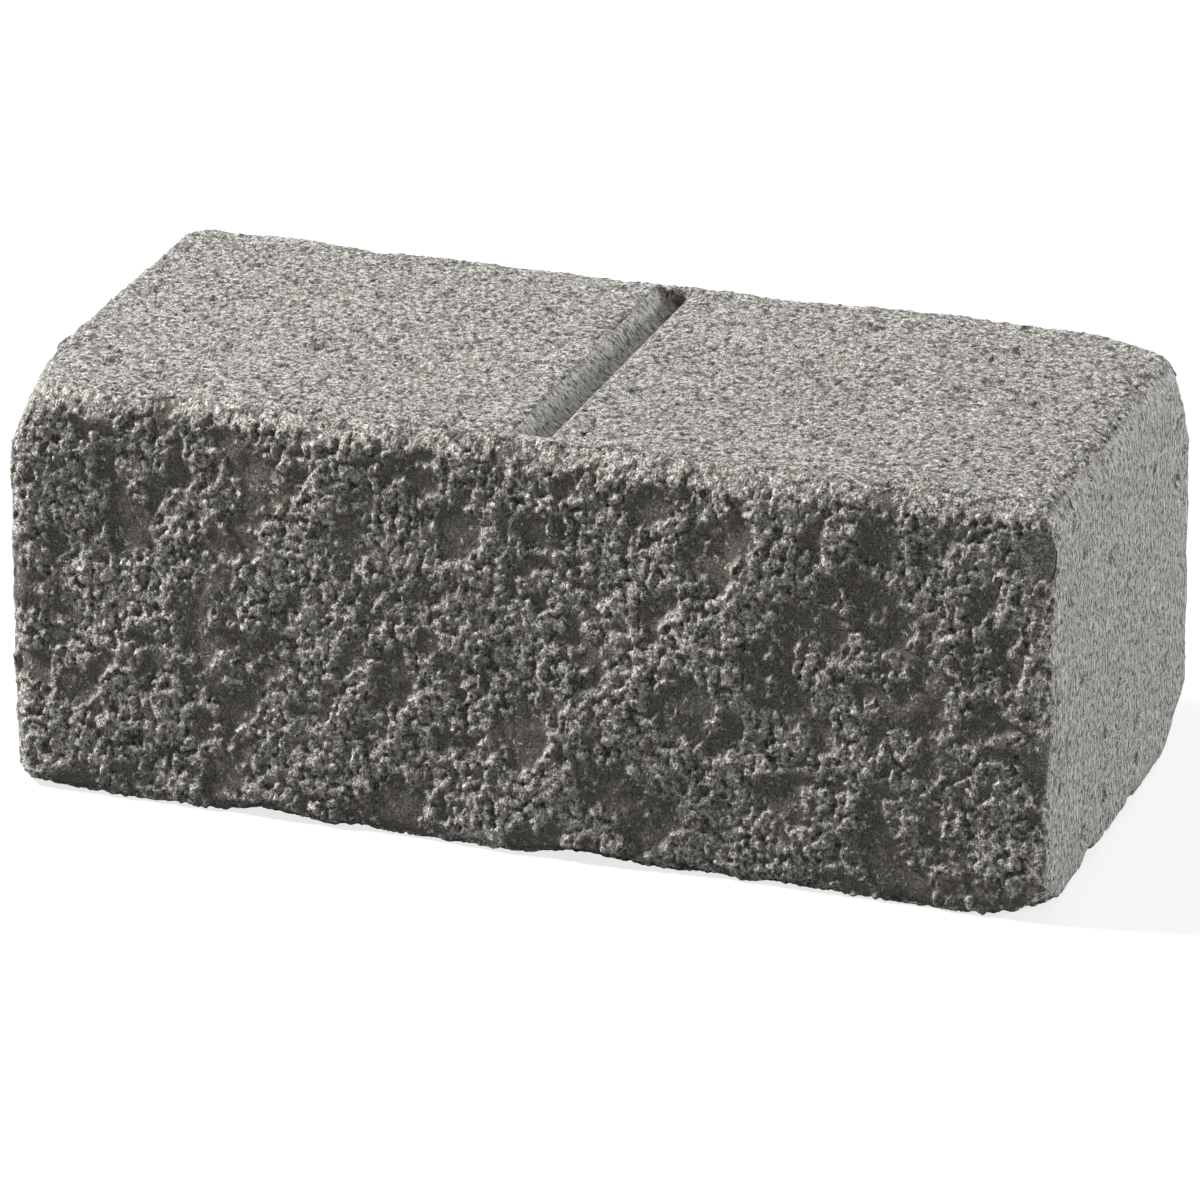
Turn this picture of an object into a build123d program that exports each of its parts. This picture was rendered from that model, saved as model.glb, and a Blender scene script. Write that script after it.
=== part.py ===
"""Split-face garden wall block in cast concrete, with a halving groove across its top bed.

Frame: millimetres, +Z up. The origin is the centre of the underside, +X runs along the block
and -Y is the split face that shows in the wall. The block is one casting. The larger stones
of its aggregate that the split lays bare are separate solids, bedded in sockets of the body.
"""

import os
from math import cos, tau

from build123d import *

# ---- Driving dimensions -------------------------------------------------------------------

length = 380  # end face to end face, X
depth = 190  # between the planes that the split faces wave behind, Y
height = 150  # lower bed to upper bed, Z

arris_radius = 3  # worn edges of the two moulded ends, along Y
worn_arris_radius = 11  # the top edge of the right end, which has had more knocks

groove_width = 14  # halving groove at the level of the upper bed
groove_depth = 8.5
groove_root_width = 1.6
groove_shoulder = 1.5  # how far the worn lip of the groove runs out over the bed
groove_end_web = 8  # concrete left standing between the groove and each split face

split_relief = 5  # depth of the hollows of a split face
front_lean = 6  # how far the top of the front lies behind its foot, where the split ran off
back_lean = 2
split_margin = 10  # how far the splitting surface is drawn past the block's edges
split_step_x = 20  # spacing of the points that carry the splitting surface
split_step_z = 15

pebble_bedding = 0.7  # share of a pebble's thickness that lies inside the concrete

# The undulations of a split face: the length of one wave along X and along Z, its share of
# the relief, and where it starts, as a share of a turn.
front_waves = [(310, 420, 0.40, 0.10), (150, 190, 0.32, 0.45), (90, 115, 0.28, 0.80)]
back_waves = [(260, 380, 0.42, 0.65), (135, 170, 0.30, 0.20), (85, 130, 0.28, 0.35)]

# Corners that broke off when the block was split and handled: the corner, as the sides of
# X, Y and Z that it lies on, and how far the break runs from it along X, Y and Z.
corner_breaks = [
    ((-1, -1, 1), (14, 58, 27)),
    ((1, -1, 1), (12, 14, 42)),
    ((1, 1, 1), (44, 26, 21)),
    ((1, 1, 1), (16, 32, 46)),
    ((-1, 1, 1), (8, 12, 13)),
    ((1, -1, -1), (19, 28, 13)),
    ((-1, -1, -1), (22, 14, 8)),
    ((1, 1, -1), (12, 40, 20)),
    ((-1, 1, -1), (15, 20, 11)),
]

# Pebbles laid bare by the split: distance from the left end as a share of the length, height
# over the lower bed as a share of the height, and radius.
front_pebbles = [
    (0.074, 0.64, 2.8),
    (0.124, 0.25, 2.2),
    (0.218, 0.79, 2.1),
    (0.274, 0.41, 2.9),
    (0.366, 0.66, 2.3),
    (0.429, 0.20, 2.6),
    (0.495, 0.54, 2.0),
    (0.563, 0.75, 2.4),
    (0.621, 0.31, 3.1),
    (0.682, 0.59, 2.2),
    (0.745, 0.15, 2.4),
    (0.808, 0.69, 2.6),
    (0.858, 0.39, 2.2),
    (0.905, 0.61, 2.7),
    (0.939, 0.23, 2.2),
]
back_pebbles = [
    (0.095, 0.35, 2.5),
    (0.205, 0.67, 2.9),
    (0.318, 0.23, 2.2),
    (0.416, 0.77, 2.3),
    (0.518, 0.44, 3.0),
    (0.637, 0.18, 2.1),
    (0.713, 0.62, 2.6),
    (0.811, 0.33, 2.4),
    (0.897, 0.72, 2.2),
]


# ---- Split faces --------------------------------------------------------------------------


def split_y(side, x, z):
    """Where the split face on one side of the block (-1 front, +1 back) lies at x and z."""
    waves, lean = (front_waves, front_lean) if side < 0 else (back_waves, back_lean)
    swell = sum(
        share * (0.5 - 0.5 * cos(tau * (x / wave_x + start)) * cos(tau * (z / wave_z + start)))
        for wave_x, wave_z, share, start in waves
    )
    return side * (depth / 2 - split_relief * swell - lean * max(z, 0) / height)


def stations(low, high, step):
    """Evenly spaced values from low to high, at most one step apart."""
    count = int((high - low) / step) + 1
    return [low + (high - low) * i / count for i in range(count + 1)]


def splitting_surface(side):
    """The surface along which the block came away from the casting beside it."""
    xs = stations(-length / 2 - split_margin, length / 2 + split_margin, split_step_x)
    zs = stations(-split_margin, height + split_margin, split_step_z)
    points = [[(x, split_y(side, x, z), z) for x in xs] for z in zs]
    return Face.make_surface_from_array_of_points(points)


# ---- Pebbles ------------------------------------------------------------------------------

with BuildPart() as exposed_pebbles:
    for side, pebbles in ((-1, front_pebbles), (1, back_pebbles)):
        for share_along, share_up, radius in pebbles:
            x, z = (share_along - 0.5) * length, share_up * height
            sunk = (2 * pebble_bedding - 1) * radius
            with Locations((x, split_y(side, x, z) - side * sunk, z)):
                Sphere(radius)
exposed_pebbles.part.label = "exposed_pebbles"

# ---- Body ---------------------------------------------------------------------------------


def beyond_split(side):
    """The stock beyond one split face, which comes away with the casting beside it."""
    reach = split_relief + max(front_lean, back_lean) + split_margin
    return extrude(splitting_surface(side), amount=reach, dir=(0, side, 0), mode=Mode.PRIVATE)


with BuildPart() as block_body:
    # Moulded outline, seen from the front, drawn out from one split face to the other.
    with BuildSketch(Plane.XZ) as outline:
        with Locations((0, height / 2)):
            Rectangle(length, height)
        corners = outline.vertices().sort_by(lambda corner: corner.X + corner.Y)
        fillet(corners[:-1], radius=arris_radius)
        right_top = outline.vertices().sort_by(lambda corner: corner.X + corner.Y)[-1]
        fillet(right_top, radius=worn_arris_radius)
    extrude(amount=depth / 2, both=True)

    # Halving groove, closed at both ends.
    groove_front = split_y(-1, 0, height) + groove_end_web
    groove_back = split_y(1, 0, height) - groove_end_web
    with BuildSketch(Plane.XZ.offset(-groove_back)):
        with BuildLine():
            Polyline(
                (-groove_width / 2 - groove_shoulder, height + groove_shoulder),
                (-groove_width / 2 - groove_shoulder, height),
                (-groove_width / 2, height - groove_shoulder / 2),
                (-groove_root_width / 2, height - groove_depth),
                (groove_root_width / 2, height - groove_depth),
                (groove_width / 2, height - groove_shoulder / 2),
                (groove_width / 2 + groove_shoulder, height),
                (groove_width / 2 + groove_shoulder, height + groove_shoulder),
                close=True,
            )
        make_face()
    extrude(amount=groove_back - groove_front, mode=Mode.SUBTRACT)

    # Split faces.
    add(beyond_split(-1), mode=Mode.SUBTRACT)
    add(beyond_split(1), mode=Mode.SUBTRACT)

    # Broken corners.
    for sides, reach in corner_breaks:
        corner = Vector(*(s * d for s, d in zip(sides, (length / 2, depth / 2, height / 2))))
        corner += Vector(0, 0, height / 2)
        facing = Vector(*(s / r for s, r in zip(sides, reach))).normalized()
        on_plane = corner - Vector(sides[0] * reach[0], 0, 0)
        split(bisect_by=Plane(origin=on_plane, z_dir=facing), keep=Keep.BOTTOM)

    # Sockets that bed the pebbles.
    add(exposed_pebbles.part, mode=Mode.SUBTRACT)
block_body.part.label = "block_body"

# ---- Files --------------------------------------------------------------------------------

os.makedirs("parts", exist_ok=True)
export_step(block_body.part, "parts/block_body.step")
export_step(exposed_pebbles.part, "parts/exposed_pebbles.step")
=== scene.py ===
"""Looks of the split-face wall block: its concrete, its pebbles, a pale floor and studio light.

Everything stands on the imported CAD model. Lengths inside the shape code are millimetres, and
turn into metres where a mesh is written.
"""

import math

import bmesh
import bpy
import numpy as np
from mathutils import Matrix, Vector


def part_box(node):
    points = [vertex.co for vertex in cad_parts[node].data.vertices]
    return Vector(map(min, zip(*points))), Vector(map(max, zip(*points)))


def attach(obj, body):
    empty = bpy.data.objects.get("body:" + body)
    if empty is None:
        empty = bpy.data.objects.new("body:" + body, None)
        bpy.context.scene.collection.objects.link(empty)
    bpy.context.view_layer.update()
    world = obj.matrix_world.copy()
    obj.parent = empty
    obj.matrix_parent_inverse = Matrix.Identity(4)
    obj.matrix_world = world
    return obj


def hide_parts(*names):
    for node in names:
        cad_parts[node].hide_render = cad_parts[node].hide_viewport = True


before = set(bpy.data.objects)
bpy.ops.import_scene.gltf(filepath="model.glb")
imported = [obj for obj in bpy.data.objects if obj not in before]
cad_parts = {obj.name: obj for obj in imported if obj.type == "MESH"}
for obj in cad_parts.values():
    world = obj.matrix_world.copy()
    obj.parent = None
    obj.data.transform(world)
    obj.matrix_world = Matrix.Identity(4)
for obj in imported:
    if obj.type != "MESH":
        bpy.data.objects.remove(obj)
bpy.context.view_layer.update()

MM = 0.001
low, high = (np.array(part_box("block_body")[i]) / MM for i in (0, 1))
LENGTH, DEPTH, HEIGHT = high - low

# ---- Camera -------------------------------------------------------------------------------

CAMERA_AZIMUTH, CAMERA_ELEVATION = math.radians(19.0), math.radians(21.6)
CAMERA_DISTANCE = 3.04  # from the block's centre, in metres
LENS, SENSOR = 258.4, 36.0
AIM_BELOW, AIM_LEFT = 0.0140, 0.0011  # how far the camera aims below and left of the centre


def make_camera():
    """A long lens, well back from the block and looking down on its front and right end."""
    centre = Vector((low + high) / 2 * MM)
    back = Vector(
        (
            math.sin(CAMERA_AZIMUTH) * math.cos(CAMERA_ELEVATION),
            -math.cos(CAMERA_AZIMUTH) * math.cos(CAMERA_ELEVATION),
            math.sin(CAMERA_ELEVATION),
        )
    )
    right = Vector((math.cos(CAMERA_AZIMUTH), math.sin(CAMERA_AZIMUTH), 0))
    up = right.cross(-back)
    camera = bpy.data.objects.new("camera", bpy.data.cameras.new("camera"))
    camera.data.lens, camera.data.sensor_width = LENS, SENSOR
    camera.location = centre + back * CAMERA_DISTANCE
    aim = centre - up * AIM_BELOW - right * AIM_LEFT
    camera.rotation_mode = "QUATERNION"
    camera.rotation_quaternion = (aim - camera.location).to_track_quat("-Z", "Y")
    bpy.context.scene.collection.objects.link(camera)
    bpy.context.scene.camera = camera


make_camera()

# ---- Chance values over space ---------------------------------------------------------------

# Sizes are in millimetres. A seed picks one pattern of chance values.


def scatter(cells, seed):
    """Three chance values from 0 to 1 for each cell of a grid, the same on every run.

    The long numbers only stir the bits of the cell's place until no pattern is left.
    """
    x, y, z = (cells[:, i].astype(np.int64) for i in range(3))
    mixed = (x * 73856093) ^ (y * 19349663) ^ (z * 83492791) ^ (seed * 50331653)
    mixed = (mixed & 0xFFFFFFFF).astype(np.uint32)
    for shift, factor in ((16, 0x7FEB352D), (15, 0x846CA68B)):
        mixed = (mixed ^ (mixed >> np.uint32(shift))) * np.uint32(factor)
    mixed ^= mixed >> np.uint32(16)
    return (
        (mixed & np.uint32(1023)) / np.float32(1024),
        ((mixed >> np.uint32(10)) & np.uint32(1023)) / np.float32(1024),
        (mixed >> np.uint32(20)) / np.float32(4096),
    )


def swell(points, size, seed):
    """Smooth chance values from -1 to 1, which change over about size mm."""
    scaled = (points / size).astype(np.float32)
    base = np.floor(scaled)
    part = scaled - base
    part = part * part * (3 - 2 * part)
    total = np.zeros(len(points), np.float32)
    for corner in np.ndindex(2, 2, 2):
        weight = np.ones(len(points), np.float32)
        for axis, side in enumerate(corner):
            weight *= part[:, axis] if side else 1 - part[:, axis]
        total += weight * scatter(base + corner, seed)[2]
    return total * 2 - 1


def rough(points, size, seed, octaves=3, falloff=0.5):
    """Swells of ever smaller size laid over each other, from about -1 to 1."""
    total, share, weight = 0.0, 0.0, 1.0
    for octave in range(octaves):
        total = total + weight * swell(points, size / 2**octave, seed + octave)
        share += weight
        weight *= falloff
    return total / share


def bend(points, size, reach, seed, octaves=2):
    """The points, each moved by up to about reach mm, so that what follows isn't regular."""
    moves = [rough(points, size, seed + 7 * axis, octaves) for axis in range(3)]
    return points + reach * np.stack(moves, axis=1)


LOWEST_GRAIN = 0.55  # height of the lowest grain, as a share of the highest


def domes(points, size, seed, fill=1.0):
    """Rounded grains about size mm apart: up to 1 on the middle of one, 0 outside them all.

    fill is the share of places that hold a grain.
    """
    scaled = (points / size).astype(np.float32)
    base = np.floor(scaled)
    best = np.zeros(len(points), np.float32)
    for step in np.ndindex(3, 3, 3):
        cell = base + step - 1
        off = scaled - cell - 0.5
        jitter = scatter(cell, seed)
        squared = sum((off[:, i] - (jitter[i] - 0.5) * 0.9) ** 2 for i in range(3))
        kind, girth, _ = scatter(cell, seed + 1)
        dome = np.clip(1 - squared / (0.55 + 0.4 * girth) ** 2, 0, 1)
        dome *= LOWEST_GRAIN + (1 - LOWEST_GRAIN) * kind / fill
        best = np.maximum(best, np.where(kind < fill, dome, 0))
    return best


def ramp(value, start, end):
    """0 at start and before, 1 at end and after, smooth between."""
    part = np.clip((value - start) / (end - start), 0, 1)
    return part * part * (3 - 2 * part)


# ---- Meshes to and from arrays --------------------------------------------------------------


def points_of(mesh):
    """The mesh's points, in millimetres."""
    flat = np.empty(len(mesh.vertices) * 3, np.float32)
    mesh.vertices.foreach_get("co", flat)
    return flat.reshape(-1, 3).astype(float) / MM


def normals_of(mesh):
    """The direction that the surface faces at each point."""
    flat = np.empty(len(mesh.vertices) * 3, np.float32)
    mesh.vertices.foreach_get("normal", flat)
    return flat.reshape(-1, 3).astype(float)


def put_points(mesh, points):
    """Moves the mesh's points to these, given in millimetres."""
    mesh.vertices.foreach_set("co", (points * MM).astype(np.float32).ravel())
    mesh.update()


def put_mask(mesh, name, values):
    """Stores one value for each point, which the material reads by name."""
    mesh.attributes.new(name, "FLOAT", "POINT").data.foreach_set(
        "value", values.astype(np.float32)
    )


def with_modifiers(piece, *modifiers):
    """The piece's mesh once the modifiers, each a kind and its settings, have been applied."""
    for kind, settings in modifiers:
        modifier = piece.modifiers.new(kind.lower(), kind)
        for name, value in settings.items():
            setattr(modifier, name, value)
    bpy.context.view_layer.update()
    shaped = bpy.data.meshes.new_from_object(
        piece.evaluated_get(bpy.context.evaluated_depsgraph_get())
    )
    piece.modifiers.clear()
    return shaped


def make_piece(name, mesh, material, slot_name, *nodes):
    """Adds a finished piece, which rides on the block and stands for these CAD nodes."""
    mesh.materials.clear()
    mesh.materials.append(material)
    mesh.shade_smooth()
    piece = bpy.data.objects.new(name, mesh)
    bpy.context.scene.collection.objects.link(piece)
    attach(piece, "root")
    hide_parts(*nodes)
    return piece


# ---- Material building ----------------------------------------------------------------------


class Tree:
    """Builds one node tree. Inputs are sockets, numbers or colours."""

    def __init__(self, tree):
        self.tree = tree

    def node(self, kind, inputs=(), **settings):
        """A new node of this kind, with its inputs and settings."""
        made = self.tree.nodes.new(kind)
        for name, value in settings.items():
            setattr(made, name, value)
        for name, value in dict(inputs).items():
            self.give(made, name, value)
        return made

    def give(self, made, name, value):
        """Links a socket to a node's input, or sets the input to a value."""
        if isinstance(value, bpy.types.NodeSocket):
            self.tree.links.new(value, made.inputs[name])
        else:
            made.inputs[name].default_value = value

    def math(self, operation, *values):
        """The result of one operation on sockets and numbers."""
        return self.node(
            "ShaderNodeMath", dict(enumerate(values)), operation=operation
        ).outputs[0]

    def even(self, value):
        """A grey of this brightness."""
        channels = dict.fromkeys(("Red", "Green", "Blue"), value)
        return self.node("ShaderNodeCombineColor", channels).outputs[0]

    def mix(self, share, a, b, blend="MIX"):
        """Colours a and b, mixed by share."""
        return self.node(
            "ShaderNodeMix", {0: share, 6: a, 7: b}, data_type="RGBA", blend_type=blend
        ).outputs[2]

    def between(self, value, start, end, low=0.0, high=1.0):
        """low where value is start, high where it is end, smooth between."""
        return self.node(
            "ShaderNodeMapRange",
            {0: value, 1: start, 2: end, 3: low, 4: high},
            interpolation_type="SMOOTHSTEP",
        ).outputs[0]

    def place(self, scale=(1, 1, 1)):
        """Places on the object, in millimetres times scale."""
        spot = self.node("ShaderNodeTexCoord").outputs["Object"]
        return self.node(
            "ShaderNodeVectorMath",
            {0: spot, 1: tuple(s / MM for s in scale)},
            operation="MULTIPLY",
        ).outputs[0]

    def noise(self, place, size, detail=2.0, rough=0.5, warp=0.0):
        """Chance values about 0.5 that change over about size mm."""
        return self.node(
            "ShaderNodeTexNoise",
            {
                "Vector": place,
                "Scale": 1 / size,
                "Detail": detail,
                "Roughness": rough,
                "Distortion": warp,
            },
        ).outputs["Fac"]

    def cells(self, place, size):
        """Grains size mm apart: how far off the middle of one, and its chance colour."""
        made = self.node("ShaderNodeTexVoronoi", {"Vector": place, "Scale": 1 / size})
        return made.outputs["Distance"], made.outputs["Color"]


def make_group(name, inputs, outputs, build):
    """A node group with named sockets. build takes its tree and inputs and gives its outputs."""
    group = bpy.data.node_groups.new(name, "ShaderNodeTree")
    for direction, sockets in (("INPUT", inputs), ("OUTPUT", outputs)):
        for socket, kind in sockets.items():
            group.interface.new_socket(
                socket, in_out=direction, socket_type="NodeSocket" + kind
            )
    tree = Tree(group)
    taken = tree.node("NodeGroupInput")
    given = tree.node("NodeGroupOutput")
    results = build(tree, {socket: taken.outputs[socket] for socket in inputs})
    for socket, value in results.items():
        group.links.new(value, given.inputs[socket])
    return group


def use(tree, group, **inputs):
    """Places a group in a tree, and gives its outputs."""
    made = tree.node("ShaderNodeGroup", node_tree=group)
    for name, value in inputs.items():
        tree.give(made, name, value)
    return made.outputs


def make_material(name):
    """A new material, and its empty tree."""
    material = bpy.data.materials.new(name)
    material.use_nodes = True
    material.node_tree.nodes.clear()
    return material, Tree(material.node_tree)


def finish_surface(tree, colour, rough, height=None, **constants):
    """Ends a material in one shader. height is in millimetres, and constants are its sockets."""
    inputs = {"Base Color": colour, "Roughness": rough}
    if height is not None:
        inputs["Normal"] = tree.node(
            "ShaderNodeBump", {"Height": height, "Distance": MM}
        ).outputs[0]
    shader = tree.node("ShaderNodeBsdfPrincipled", inputs)
    for socket, value in constants.items():
        tree.give(shader, socket.replace("_", " "), value)
    tree.node("ShaderNodeOutputMaterial", {"Surface": shader.outputs[0]})


def grey(value, warmth=0.0):
    """A grey of this brightness, with a little less blue the warmer it is."""
    return (value * (1 + warmth), value, value * (1 - 2 * warmth), 1)


# ---- Finishes of the concrete ---------------------------------------------------------------


def cement_grain(tree, given):
    """Sand bound in cement: how bright each spot is, with painted shade low between broken crumbs,
    and how high it stands in mm.
    """
    sand = tree.noise(tree.place(), 0.62, detail=3, rough=0.62)
    off, tint = tree.cells(tree.place(), 0.85)
    own = tree.node("ShaderNodeSeparateColor", {"Color": tint}).outputs[0]
    sand_shade = tree.between(sand, 0.36, 0.60, 0.46, 1.20)
    shade = tree.math("MULTIPLY", sand_shade, tree.between(own, 0, 1, 0.86, 1.12))
    height = tree.math("MULTIPLY_ADD", off, -0.12, tree.math("MULTIPLY", sand, 0.45))

    # Broken crumbs: lumps a millimetre or two across, with flakes and pits on them.
    lumps = tree.noise(tree.place(), 2.0, detail=4, rough=0.70, warp=0.3)
    flakes = tree.noise(tree.place((1.0, 1.0, 0.62)), 1.05, detail=3, rough=0.62, warp=0.5)
    crumb = tree.math("MULTIPLY_ADD", lumps, 2.6, tree.math("MULTIPLY", flakes, 1.5))
    # Painted light and shade: the crumbs are coloured pale where lumps and flakes stand high and
    # dark where they lie low.
    crumb_painted_shade = tree.math(
        "MULTIPLY",
        tree.between(lumps, 0.38, 0.56, 0.34, 1.16),
        tree.between(flakes, 0.38, 0.58, 0.50, 1.28),
    )
    broken = tree.node(
        "ShaderNodeMix", {0: given["Crumbly"], 2: 1.0, 3: crumb_painted_shade}, data_type="FLOAT"
    ).outputs[0]
    height = tree.math("MULTIPLY_ADD", crumb, given["Crumbly"], height)
    return {"Shade": tree.math("MULTIPLY", shade, broken), "Height": height}


CEMENT_GRAIN = make_group(
    "Cement grain",
    {"Crumbly": "Float"},
    {"Shade": "Float", "Height": "Float"},
    cement_grain,
)


def bend_place(tree, reach):
    """Places moved a little by chance, up to about reach mm, so that grains aren't round."""
    shift = tree.node(
        "ShaderNodeTexNoise", {"Vector": tree.place(), "Scale": 0.7, "Detail": 1.0}
    ).outputs["Color"]
    return tree.node(
        "ShaderNodeVectorMath",
        {0: shift, 1: (reach, reach, reach), 2: tree.place()},
        operation="MULTIPLY_ADD",
    ).outputs[0]


def mineral_specks(tree, given):
    """Scattered grains of other stone: a mask for the dark ones and one for the yellow."""
    dark = tree.noise(tree.place(), 0.8, detail=2, rough=0.5)
    dark = tree.between(dark, 0.36, 0.29, 0, 1)
    off, tint = tree.cells(bend_place(tree, 0.9), 3.0)
    kind = tree.node("ShaderNodeSeparateColor", {"Color": tint}).outputs[1]
    yellow = tree.math(
        "MULTIPLY", tree.between(off, 0.55, 0.30), tree.between(kind, 0.95, 0.96)
    )
    return {
        "Dark": dark,
        "Yellow": tree.math("MULTIPLY", yellow, given["Amount"]),
    }


MINERAL_SPECKS = make_group(
    "Mineral specks",
    {"Amount": "Float"},
    {"Dark": "Float", "Yellow": "Float"},
    mineral_specks,
)


def drag_marks(tree, given):
    """Fine scores that the mould and the groove cutter leave, across the block's depth."""
    short_marks = tree.noise(tree.place((0.60, 1.0, 0.60)), 1.5, detail=3, rough=0.64)
    long_marks = tree.noise(tree.place((0.30, 1.0, 0.30)), 1.6, detail=3, rough=0.6)
    dark = tree.between(short_marks, 0.48, 0.38, 0, 1)
    light = tree.between(long_marks, 0.50, 0.60, 0, 1)
    height = tree.math("SUBTRACT", tree.math("MULTIPLY", light, 0.5), dark)
    return {
        "Dark": dark,
        "Light": light,
        "Height": tree.math("MULTIPLY", height, tree.math("MULTIPLY", given["Depth"], 0.8)),
    }


DRAG_MARKS = make_group(
    "Drag marks",
    {"Depth": "Float"},
    {"Dark": "Float", "Light": "Float", "Height": "Float"},
    drag_marks,
)


def make_concrete():
    """The block's own concrete. The masks say where it is split, dragged or crumbly."""
    material, tree = make_material("cast concrete")
    split, dragged, crumbly, gap_shade = (
        tree.node("ShaderNodeAttribute", attribute_name=name).outputs["Fac"]
        for name in ("split", "dragged", "crumbly", "gap_shade")
    )
    # Crumbs that stuck here and there in the smooth hollows of the split.
    strays = tree.math(
        "MULTIPLY",
        tree.between(tree.noise(tree.place((1, 1, 0.7)), 1.6, detail=3, rough=0.6), 0.53, 0.59),
        tree.between(tree.noise(tree.place(), 7, detail=2), 0.40, 0.58, 0.2, 1.0),
    )
    crumbly = tree.math("MAXIMUM", crumbly, tree.math("MULTIPLY", strays, split))
    grain = use(tree, CEMENT_GRAIN, Crumbly=crumbly)
    marks = use(tree, DRAG_MARKS, Depth=1.0)
    specks = use(tree, MINERAL_SPECKS, Amount=0.5)

    # Colour: clean cement, the split face with its smooth hollows painted dark as painted shade
    # and its crumbs painted pale as painted light, over a real difference in tone, and the moulded
    # ends.
    blotch = tree.noise(tree.place(), 26, detail=3)
    base = tree.mix(blotch, grey(0.66, 0.034), grey(0.78, 0.036))
    smooth_split_painted_shade = tree.mix(blotch, grey(0.20, 0.065), grey(0.28, 0.07))
    base = tree.mix(split, base, tree.mix(crumbly, smooth_split_painted_shade, grey(0.95, 0.045)))
    base = tree.mix(dragged, base, grey(0.52, 0.024))

    # Grain, painted shade down between the crumbs and in the pin holes, other stone and the drag
    # marks.
    shade = tree.math("MULTIPLY", grain["Shade"], tree.between(gap_shade, 0.15, 0.9, 1.0, 0.42))
    base = tree.mix(1.0, base, tree.even(shade), "MULTIPLY")
    dark = tree.math("MULTIPLY", specks["Dark"], tree.math("MULTIPLY_ADD", split, 0.6, 0.2))
    base = tree.mix(dark, base, grey(0.09, 0.02))
    base = tree.mix(specks["Yellow"], base, (0.52, 0.45, 0.31, 1))
    dashes = tree.math("MULTIPLY", marks["Dark"], dragged)
    base = tree.mix(tree.math("MULTIPLY", dashes, 0.95), base, grey(0.13, 0.02))
    # Painted highlight: the raised scores on the moulded ends are painted pale.
    glints = tree.math("MULTIPLY", marks["Light"], dragged)
    base = tree.mix(tree.math("MULTIPLY", glints, 0.6), base, grey(0.80, 0.02))

    height = tree.math(
        "ADD",
        tree.math("MULTIPLY", grain["Height"], tree.between(dragged, 0, 1, 1.0, 0.25)),
        tree.math("MULTIPLY", marks["Height"], dragged),
    )
    finish_surface(
        tree, base, tree.between(grain["Height"], 0.2, 0.9, 0.98, 0.88), height,
        Specular_IOR_Level=0.3,
    )
    return material


def make_pebble_stone():
    """River gravel: each pebble has its own tint, from off-white through tan to rust."""
    material, tree = make_material("river gravel")
    tint, dust = (
        tree.node("ShaderNodeAttribute", attribute_name=name).outputs["Fac"]
        for name in ("tint", "dust")
    )
    base = tree.mix(
        tree.between(tint, 0.25, 0.65), (0.55, 0.52, 0.43, 1), (0.46, 0.38, 0.26, 1)
    )
    base = tree.mix(tree.between(tint, 0.78, 0.95), base, (0.36, 0.22, 0.14, 1))
    mottle = tree.noise(tree.place(), 1.1, detail=4, rough=0.65)
    base = tree.mix(tree.between(mottle, 0.35, 0.65, 0.0, 0.4), base, (0.27, 0.23, 0.17, 1))
    grain = use(tree, CEMENT_GRAIN, Crumbly=tree.math("MULTIPLY", dust, 0.6))
    specks = use(tree, MINERAL_SPECKS, Amount=0.0)
    cement = tree.mix(1.0, grey(0.37, 0.03), tree.even(grain["Shade"]), "MULTIPLY")
    base = tree.mix(tree.math("MULTIPLY", specks["Dark"], 0.4), base, grey(0.12, 0.03))
    base = tree.mix(dust, base, cement)
    shine = tree.math("MULTIPLY_ADD", dust, 0.3, tree.between(mottle, 0.3, 0.7, 0.5, 0.68))
    finish_surface(tree, base, shine, tree.math("MULTIPLY", grain["Height"], 0.6))
    return material


# ---- The block ------------------------------------------------------------------------------

VOXEL = 0.85  # size of the body's mesh squares
EVENING = 2  # rounds of smoothing that take the steps out of the squares
ROUNDING = 50  # rounds that round the edges off as far as a wear of 1 takes them
CLEAR = 0.02  # how far the finished body stays inside the CAD box


def soft_copy(points, mesh, rounds):
    """The points after each has been drawn, so many times, to the middle of its neighbours."""
    edges = np.empty(len(mesh.edges) * 2, np.int32)
    mesh.edges.foreach_get("vertices", edges)
    a, b = edges.reshape(-1, 2).T
    both, other = np.concatenate([a, b]), np.concatenate([b, a])
    count = np.maximum(np.bincount(both, minlength=len(points)), 1)
    moved = points.copy()
    for _ in range(rounds):
        moved = np.stack(
            [
                np.bincount(both, moved[other, axis], minlength=len(points)) / count
                for axis in range(3)
            ],
            axis=1,
        )
    return moved


PEBBLE_SPAN = 6.5  # wider than any pebble, and less than the space between two of them


def pebble_places():
    """Middle and radius of each pebble of the CAD model."""
    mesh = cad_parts["exposed_pebbles"].data
    spots = points_of(mesh)
    left = np.ones(len(spots), bool)
    places = []
    while left.any():
        first = spots[np.argmax(left)]
        mine = left & (np.abs(spots - first).max(1) < PEBBLE_SPAN)
        lowest, highest = spots[mine].min(0), spots[mine].max(0)
        places.append(((lowest + highest) / 2, (highest - lowest).max() / 2))
        left &= ~mine
    return places


PEBBLES = pebble_places()
SUNK = 0.4  # how far the middle of a pebble lies behind the face, in shares of its radius
SOCKET_RIM = 0.7  # how far round a pebble the concrete is drawn level

# Half the groove's width, lips included, and its depth, with 0.1 mm to spare.
GROOVE_HALF, GROOVE_DEEP = 8.6, 8.6

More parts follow.
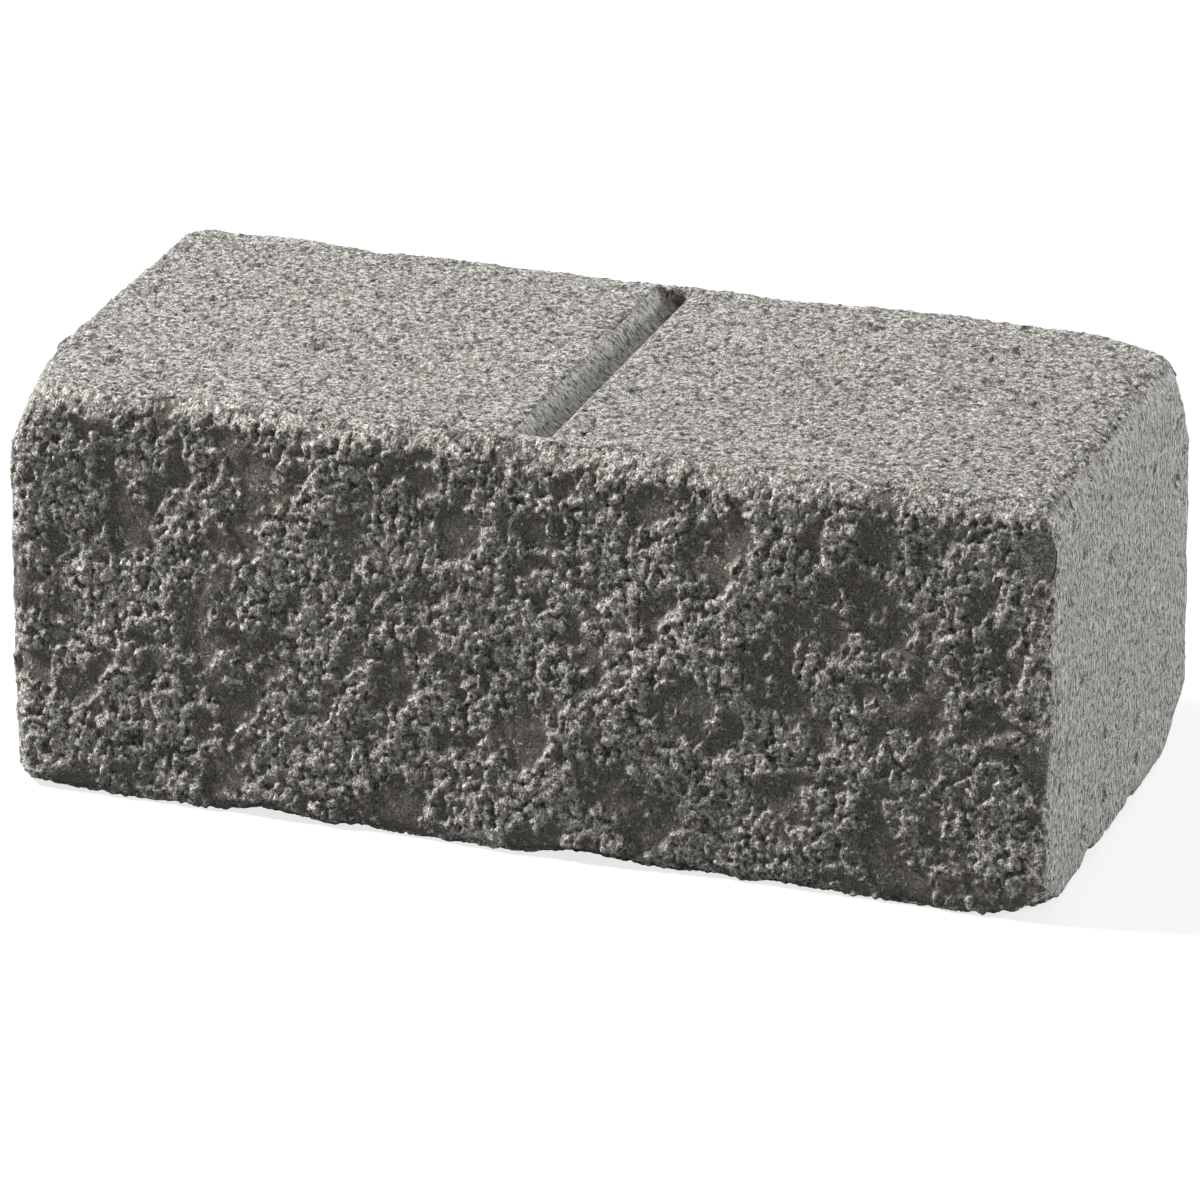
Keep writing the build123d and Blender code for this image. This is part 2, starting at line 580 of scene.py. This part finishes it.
# Knocks that took a spoonful out of an edge: the middle, as an offset from the corner on
# those sides of X, Y and Z, its reach along X, Y and Z and how deep it goes.
KNOCKS = [
    ((1, -1, 1), (-3, 28, -8), (5, 5.5, 6), 3.2),
    ((1, -1, 1), (-8, 38, -5), (6, 6, 5), 3.0),
    ((1, -1, 1), (-5, 53, -5), (5, 10, 3.5), 3.0),
    ((1, -1, 1), (-3, 69, -6), (4, 6, 8), 2.2),
    ((-1, -1, 1), (2, 45, -8), (9, 9, 8), 4.5),
    ((-1, -1, 1), (5, 64, -3), (6, 7, 5), 2.6),
    ((-1, -1, 1), (5, 79, 0), (4, 4, 4), 2.6),
    ((-1, 1, 1), (76, 0, 0), (7, 9, 5), 2.8),
    ((-1, 1, 1), (168, 0, 0), (6, 8, 5), 2.4),
    ((1, 1, 1), (-150, 0, 0), (24, 9, 5), 1.8),
    ((1, -1, -1), (0, 60, 0), (6, 9, 6), 2.6),
    ((1, -1, -1), (0, 112, 0), (5, 7, 5), 2.2),
    ((-1, -1, -1), (96, 0, 0), (16, 8, 6), 3.0),
    ((-1, -1, -1), (214, 0, 0), (22, 8, 6), 3.0),
]

# Shells that flew off the front corners: the middle and reach as above. The concrete is gone
# from the middle outwards, towards the front.
SHELLS = [
    ((1, -1, 1), (3, -9, -19), (32, 20, 18)),
    ((1, -1, 1), (0, -8, -42), (24, 14, 19)),
    ((1, -1, 1), (-24, -8, -36), (16, 12, 14)),
]


def shelled(points):
    """The points pushed back behind the shells that flew off, and how far each was pushed."""
    pushed = points.copy()
    for sides, offset, reach in SHELLS:
        corner = np.where(np.array(sides) > 0, high, low)
        away = (bend(points, 15, 4.0, 301, 4) - corner - offset) / reach
        room = np.clip(1 - away[:, 0] ** 2 - away[:, 2] ** 2, 0, 1)
        wall = corner[1] + offset[1] + reach[1] * np.sqrt(room)
        wall += (2.2 * rough(points, 6, 311, 4, 0.65) + 0.8 * np.sin(away[:, 0] * 13)) * room
        near = (room > 0) & (points[:, 1] < corner[1] + reach[1])
        pushed[:, 1] = np.where(near, np.maximum(pushed[:, 1], wall), pushed[:, 1])
    return pushed, pushed[:, 1] - points[:, 1]


def knocked(points):
    """How deep the knocks go at each point."""
    deep = np.zeros(len(points))
    for sides, offset, reach, depth in KNOCKS:
        corner = np.where(np.array(sides) > 0, high, low)
        away = (((points - corner - offset) / reach) ** 2).sum(1)
        deep = np.maximum(deep, depth * np.clip(1 - away, 0, 1))
    return deep


def from_pebbles(points):
    """How far each point is from the nearest pebble."""
    least = np.full(len(points), 1e9)
    for middle, radius in PEBBLES:
        least = np.minimum(least, np.linalg.norm(points - middle, axis=1) - radius)
    return least


def without_sockets(points, shaped):
    """The shaped points, with the concrete drawn level across the sockets of the pebbles."""
    level = shaped.copy()
    for middle, radius in PEBBLES:
        inside = np.linalg.norm(points - middle, axis=1) < radius + SOCKET_RIM
        side = np.sign(middle[1])
        level[inside, 1] = middle[1] + side * SUNK * radius
    return level


SPLIT_PROUD = 2.2  # how far the highest crumbs of a split face stand out of the CAD face
BED_PROUD = 0.9  # and those of a bed, before they are cut level with it

# A finish gives, for each point, its depth under the CAD face, how crumbly it is, and how far
# down between crumbs or in a pin hole it lies, which the material darkens as painted shade.


def split_finish(points):
    """Depth of a split face: smooth flat hollows, and crumbs on the ridges between them."""
    # Where it is crumbly: under the top edge, round the pebbles and between smooth patches.
    bent = bend(points, 20, 5.0, 21) * (1.0, 0.85, 0.80)
    patches = domes(bent, 17, 41, 0.55) + 0.7 * domes(bent + 31.0, 10, 51, 0.45)
    lie = rough(bent, 9, 61, 4, 0.66) + 0.52 - 0.85 * patches
    under_top = ramp(points[:, 2] + 5 * rough(points, 9, 63, 2), HEIGHT - 11, HEIGHT - 2)
    lie += 0.5 * under_top + 0.5 * (1 - ramp(from_pebbles(points), 1.5, 5.0))
    crumbly = ramp(lie + 0.35 * rough(points, 3.5, 71, 2), -0.10, 0.16)

    # The crumbs, the hollows between them, and the slow swell of the whole face.
    loose = bend(points, 2.2, 0.7, 75)
    grit = np.sqrt(domes(loose * (1, 1, 0.8), 2.7, 81))
    fine = np.sqrt(domes(loose, 1.9, 91))
    depth = (1 - crumbly) * (2.7 + 1.2 * rough(points, 10, 93, 3))
    depth += crumbly * (1.5 * (1 - grit) + 0.9 * (1 - fine) + 0.9 * (1 + rough(points, 7, 94, 2)))
    depth += 0.7 * (1 + rough(points, 34, 95, 2)) + (1 - crumbly) * 0.2 * (1 - fine)
    return depth - SPLIT_PROUD, crumbly, crumbly * (1 - grit)


def bed_finish(points):
    """Depth of a bed: flattened crumbs packed close, with a pit here and there."""
    loose = bend(points, 2.4, 0.7, 97)
    lump = np.sqrt(domes(loose, 2.7, 101))
    fine = np.sqrt(domes(loose, 1.9, 111))
    pits = ramp(domes(points, 12, 121, 0.35), 0.50, 0.85)
    low_spots = 0.35 * (1 + rough(points, 9, 125, 2))
    depth = 1.2 * (1 - lump) + 0.6 * (1 - fine) + 1.5 * pits + low_spots
    return depth - BED_PROUD, np.ones(len(points)), 1 - lump


def end_finish(points):
    """Depth of a moulded end: nearly flat, with pin holes and faint upright waves."""
    holes = ramp(domes(points, 8.5, 131, 0.30), 0.66, 0.82)
    waves = 0.14 * (1 + rough(points * (1, 1, 0.25), 5, 141, 3))
    return 1.1 * holes + waves, np.zeros(len(points)), holes * 0.8


def body_squares():
    """The CAD body's surface as a mesh of fine, even squares."""
    source = bpy.data.objects.new("body source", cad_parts["block_body"].data.copy())
    bpy.context.scene.collection.objects.link(source)
    mesh = with_modifiers(
        source, ("REMESH", {"mode": "VOXEL", "voxel_size": VOXEL * MM, "adaptivity": 0})
    )
    bpy.data.objects.remove(source)
    return mesh


def within_groove(points):
    """Which points lie on the groove's flanks, root and end walls."""
    x, y, z = points.T
    beside = (np.abs(x) < GROOVE_HALF) & (np.abs(y) < DEPTH / 2 - 5)
    return beside & (z > HEIGHT - GROOVE_DEEP - 1) & (z < HEIGHT - 0.5)


def faces_by_finish(facing, in_groove):
    """How far each point is part of a split face, and of one that mould or cutter slid along."""
    sideways = ramp(np.abs(facing[:, 1]), 0.10, 0.32)
    flank = in_groove & (np.abs(facing[:, 1]) < 0.6)
    split = np.where(flank, 0, sideways)
    dragged = ramp(np.abs(facing[:, 0]), 0.62, 0.93) * (1 - split)
    return split, np.where(flank, 1, dragged)


def worn(points, mesh, near_pebble):
    """The points with long edges and corners worn down by chance, the top ones most."""
    x, y, z = points.T
    inward = soft_copy(points, mesh, ROUNDING) - points
    wear = 0.42 + 0.40 * ramp(z, HEIGHT - 20, HEIGHT - 4) + 0.55 * rough(points, 13, 11)
    wear += 0.5 * ramp(rough(points, 26, 15), 0.15, 0.5)
    wear = np.clip(wear, 0, 1.3)

    # The lips of the groove keep their edge, and the pebbles their bed.
    by_groove = (np.abs(x) < 13) & (z > HEIGHT - 12) & (np.abs(y) < DEPTH / 2 - 9)
    wear = np.where(by_groove, 0.1, wear)
    wear *= ramp(near_pebble, 0.4, 3.0)
    return points + inward * wear[:, None]


def rolled_back(points, shaped):
    """The shaped points with the edges of the split faces set back, the top ones most."""
    x, y, z = points.T
    top = ramp(z, HEIGHT - 11, HEIGHT) ** 1.5 * (3.4 + 2.4 * rough(points, 9, 17))
    foot = (1 - ramp(z, 0, 5)) * (1.4 + 1.6 * rough(points, 12, 18))
    ends = ramp(np.abs(x), LENGTH / 2 - 8, LENGTH / 2) ** 1.5 * (2.2 + 2.0 * rough(points, 11, 19))
    roll = np.maximum(np.maximum(top, foot), ends)
    rolled = shaped.copy()
    for side in (-1, 1):
        rolled[:, 1] -= side * roll * (1 - ramp(DEPTH / 2 - side * y, 8, 22))
    return rolled


def finished(points, split, dragged):
    """Depth, crumbliness and painted shade between crumbs at each point, with the finishes blended
    where they meet.
    """
    totals = [np.zeros(len(points)) for _ in range(3)]
    shares = (split, (1 - split) * (1 - dragged), (1 - split) * dragged)
    for share, finish in zip(shares, (split_finish, bed_finish, end_finish)):
        mine = share > 0.002
        for total, part in zip(totals, finish(points[mine])):
            total[mine] += part * share[mine]
    return totals


def make_body(material):
    """The block: the CAD body in fine squares, worn at the edges and finished side by side."""
    mesh = body_squares()
    start = soft_copy(points_of(mesh), mesh, EVENING)
    put_points(mesh, start)
    facing = normals_of(mesh)
    in_groove = within_groove(start)
    near_pebble = from_pebbles(start)
    split, dragged = faces_by_finish(facing, in_groove)

    shaped = rolled_back(start, worn(start, mesh, near_pebble))
    shaped, shelled_off = shelled(without_sockets(start, shaped))
    put_points(mesh, shaped)
    level = normals_of(mesh)

    # Round the pebbles the concrete lies a little back, so that they stand out of it, and there
    # and along the top edge it is more even.
    depth, crumbly, gap_shade = finished(start, split, dragged)
    by_pebble = 1 - ramp(near_pebble, 0.0, 3.5)
    depth += by_pebble * (0.9 - 0.6 * depth)
    depth *= 1 - 0.7 * split * ramp(start[:, 2], HEIGHT - 9, HEIGHT - 1)
    knocks = knocked(start)
    dented, broken = ramp(knocks, 0.8, 2.5), ramp(shelled_off, 0.3, 1.5)
    bare = np.maximum(dented, broken)
    # Where the concrete is knocked or shelled off there is no painted shade between crumbs.
    gap_shade *= 1 - bare
    final = shaped - level * (depth * (1 - 0.45 * bare) + knocks)[:, None]
    final = np.clip(final, low + CLEAR, high - CLEAR)

    lay_out_map(mesh, start, facing, in_groove)
    # The knocks are coloured almost like the split's smooth hollows: painted shade in the dents,
    # over broken concrete.
    masks = {
        "split": np.maximum(split, bare),
        "dragged": dragged * (1 - bare),
        "crumbly": crumbly * (1 - bare) + 0.75 * broken + 0.1 * dented * (1 - broken),
        "gap_shade": np.clip(gap_shade, 0, 1),
    }
    for name, values in masks.items():
        put_mask(mesh, name, values)
    put_points(mesh, final)
    return make_piece("split_face_block", mesh, material, "concrete", "block_body")


# The body's texture map, in millimetres.
MAP_SHEET = 700.0  # side of the square sheet that its charts lie on
MAP_GAP = 5.0  # between the charts, and round them
GROOVE_CHART_ASIDE = 30.0  # middle of the groove's chart, from the charts of the moulded ends
GROOVE_CHART_UP = 12.0  # its foot, with room below it for the end wall that folds down
GROOVE_CHART_STRETCH = 1.6  # how much wider it is drawn, because the flanks are steep


def lay_out_map(mesh, points, facing, in_groove):
    """Unfolds the body: each face lies in the chart of the side it looks to, at one scale."""
    corners = np.empty(len(mesh.loops), np.int32)
    mesh.loops.foreach_get("vertex_index", corners)
    sizes = np.empty(len(mesh.polygons), np.int32)
    mesh.polygons.foreach_get("loop_total", sizes)
    face_of = np.repeat(np.arange(len(sizes)), sizes)
    flat = np.stack(
        [np.bincount(face_of, facing[corners, axis]) / sizes for axis in range(3)], axis=1
    )
    grooved = np.bincount(face_of, in_groove[corners].astype(float)) / sizes > 0.5
    look = np.argmax(np.abs(flat), axis=1)
    side = np.sign(flat[np.arange(len(flat)), look]).astype(int)
    spot = points[corners]
    x, y, z = spot[:, 0] + LENGTH / 2, spot[:, 1] + DEPTH / 2, spot[:, 2]
    row = HEIGHT + MAP_GAP
    beds = 2 * row
    column = LENGTH + 2 * MAP_GAP
    charts = {
        (1, -1): (x, z),
        (1, 1): (x, z + row),
        (2, 1): (x, y + beds),
        (2, -1): (x, y + beds + DEPTH + MAP_GAP),
        (0, 1): (z + column, y),
        (0, -1): (z + column, y + DEPTH + MAP_GAP),
    }
    u, v = np.zeros(len(spot)), np.zeros(len(spot))
    for (axis, sign), (across, up) in charts.items():
        mine = ((look == axis) & (side == sign))[face_of]
        u[mine], v[mine] = across[mine], up[mine]

    # The groove has a chart of its own, with an end wall folded out at its head and its foot.
    mine = grooved[face_of]
    end_wall = np.where(np.abs(flat[face_of, 1]) > 0.6, -np.sign(flat[face_of, 1]), 0)
    fold = end_wall * (z - HEIGHT + GROOVE_DEEP + 1)
    across = column + HEIGHT + GROOVE_CHART_ASIDE + spot[:, 0] * GROOVE_CHART_STRETCH
    u[mine] = across[mine]
    v[mine] = (spot[:, 1] + DEPTH / 2 + GROOVE_CHART_UP + fold)[mine]
    both = (np.stack([u, v], axis=1) + MAP_GAP) / MAP_SHEET
    layer = mesh.uv_layers.new(name="OFBake")
    layer.data.foreach_set("uv", both.astype(np.float32).ravel())


# ---- The pebbles ----------------------------------------------------------------------------

PEBBLE_FLAT = 0.82  # what is left of the height of a pebble's bare side, which is worn
SPREAD = 0.618034  # steps of this part of the whole share out shapes evenly among the pebbles
TINT_SPREAD = 0.381966  # and these do so for their tints


def make_pebbles(material):
    """Gravel that the split laid bare: each pebble is a worn lump bedded in the concrete."""
    base = bmesh.new()
    bmesh.ops.create_icosphere(base, subdivisions=4, radius=1.0)
    ball = np.array([vertex.co for vertex in base.verts])
    faces = np.array([[vertex.index for vertex in face.verts] for face in base.faces])
    base.free()
    all_points, all_faces, tints, dusts = [], [], [], []
    for number, (middle, radius) in enumerate(PEBBLES):
        own = ball * 2 + (17.0 * number, 5.0, 3.0 * number)
        size = radius * (0.96 - 0.09 * (1 + swell(own, 1.1, 201)) - 0.03 * swell(own, 0.5, 211))
        slim = 0.72 + 0.28 * ((number * SPREAD) % 1.0)
        lump = ball * size[:, None] * ((slim, 1, 1) if number % 2 else (1, 1, slim))
        side = np.sign(middle[1])
        out = lump[:, 1] * side
        bedded = -0.1 * radius
        flatter = bedded + (out - bedded) * PEBBLE_FLAT
        lump[:, 1] = side * np.where(out > bedded, flatter, out)
        all_faces.append(faces + len(ball) * number)
        all_points.append(middle + lump)
        bare = ball[:, 1] * side + 0.35 * swell(own, 0.7, 221) - 0.25 * ball[:, 2]
        dusts.append(1 - 0.9 * ramp(bare, 0.62, 0.85))
        tints.append(np.full(len(ball), (number * TINT_SPREAD + 0.11) % 1.0))
    points, faces = np.concatenate(all_points), np.concatenate(all_faces)
    mesh = bpy.data.meshes.new("pebbles")
    mesh.from_pydata((points * MM).tolist(), [], faces.tolist())
    put_mask(mesh, "tint", np.concatenate(tints))
    put_mask(mesh, "dust", np.concatenate(dusts))
    return make_piece("gravel_pebbles", mesh, material, "pebble", "exposed_pebbles")


make_body(make_concrete())
make_pebbles(make_pebble_stone())

# ---- Floor and light ------------------------------------------------------------------------

FLOOR_SIZE = 24.0
FLOOR_GREY = 0.25  # the floor as it throws light back on the block
FLOOR_GLOW = 0.77  # what the eye sees on it over the light that falls there


def make_floor():
    """A plain pale floor, which throws back less light than the eye sees on it."""
    mesh = bpy.data.meshes.new("floor")
    half = FLOOR_SIZE / 2
    mesh.from_pydata(
        [(-half, -half, 0), (half, -half, 0), (half, half, 0), (-half, half, 0)],
        [],
        [(0, 1, 2, 3)],
    )
    material, tree = make_material("pale floor")
    seen = tree.node("ShaderNodeLightPath").outputs["Is Camera Ray"]
    cloud = tree.noise(tree.place(), 400, detail=3)
    pale = tree.mix(cloud, grey(0.26), grey(0.28))
    colour = tree.mix(seen, grey(FLOOR_GREY), pale)
    glow = tree.math("MULTIPLY", seen, FLOOR_GLOW)
    finish_surface(
        tree, colour, 0.9, Specular_IOR_Level=0.1, Emission_Color=(1, 1, 1, 1),
        Emission_Strength=glow,
    )
    mesh.materials.append(material)
    floor = bpy.data.objects.new("floor", mesh)
    bpy.context.scene.collection.objects.link(floor)


# Name, direction from the block, distance and side in metres, and power in watts.
LAMPS = [
    ("key softbox", (-0.74, -0.12, 0.66), 2.4, 0.30, 76),
    ("back softbox", (0.10, 0.90, 0.45), 2.4, 0.5, 16),
    ("right softbox", (1.0, 0.25, 0.32), 2.4, 0.8, 33),
]


def make_lamp(name, direction, distance, size, watts):
    """A square soft light that looks at the block from this direction."""
    lamp = bpy.data.objects.new(name, bpy.data.lights.new(name, "AREA"))
    lamp.data.size = size
    lamp.data.energy = watts
    towards = Vector(direction).normalized()
    centre = Vector((low + high) / 2 * MM)
    lamp.location = centre + towards * distance
    lamp.rotation_mode = "QUATERNION"
    lamp.rotation_quaternion = (-towards).to_track_quat("-Z", "Y")
    bpy.context.scene.collection.objects.link(lamp)


def make_surround(strength, seen_strength):
    """Pale surroundings, dim as a light and bright to the eye."""
    world = bpy.data.worlds.new("studio")
    world.use_nodes = True
    world.node_tree.nodes.clear()
    tree = Tree(world.node_tree)
    seen = tree.node("ShaderNodeLightPath").outputs["Is Camera Ray"]
    power = tree.math("MULTIPLY_ADD", seen, seen_strength - strength, strength)
    light = tree.node("ShaderNodeBackground", {"Color": grey(1.0), "Strength": power})
    tree.node("ShaderNodeOutputWorld", {"Surface": light.outputs[0]})
    bpy.context.scene.world = world


make_floor()
for name, direction, distance, size, watts in LAMPS:
    make_lamp(name, direction, distance, size, watts)
make_surround(strength=0.17, seen_strength=0.97)
bpy.context.scene.view_settings.view_transform = "Standard"
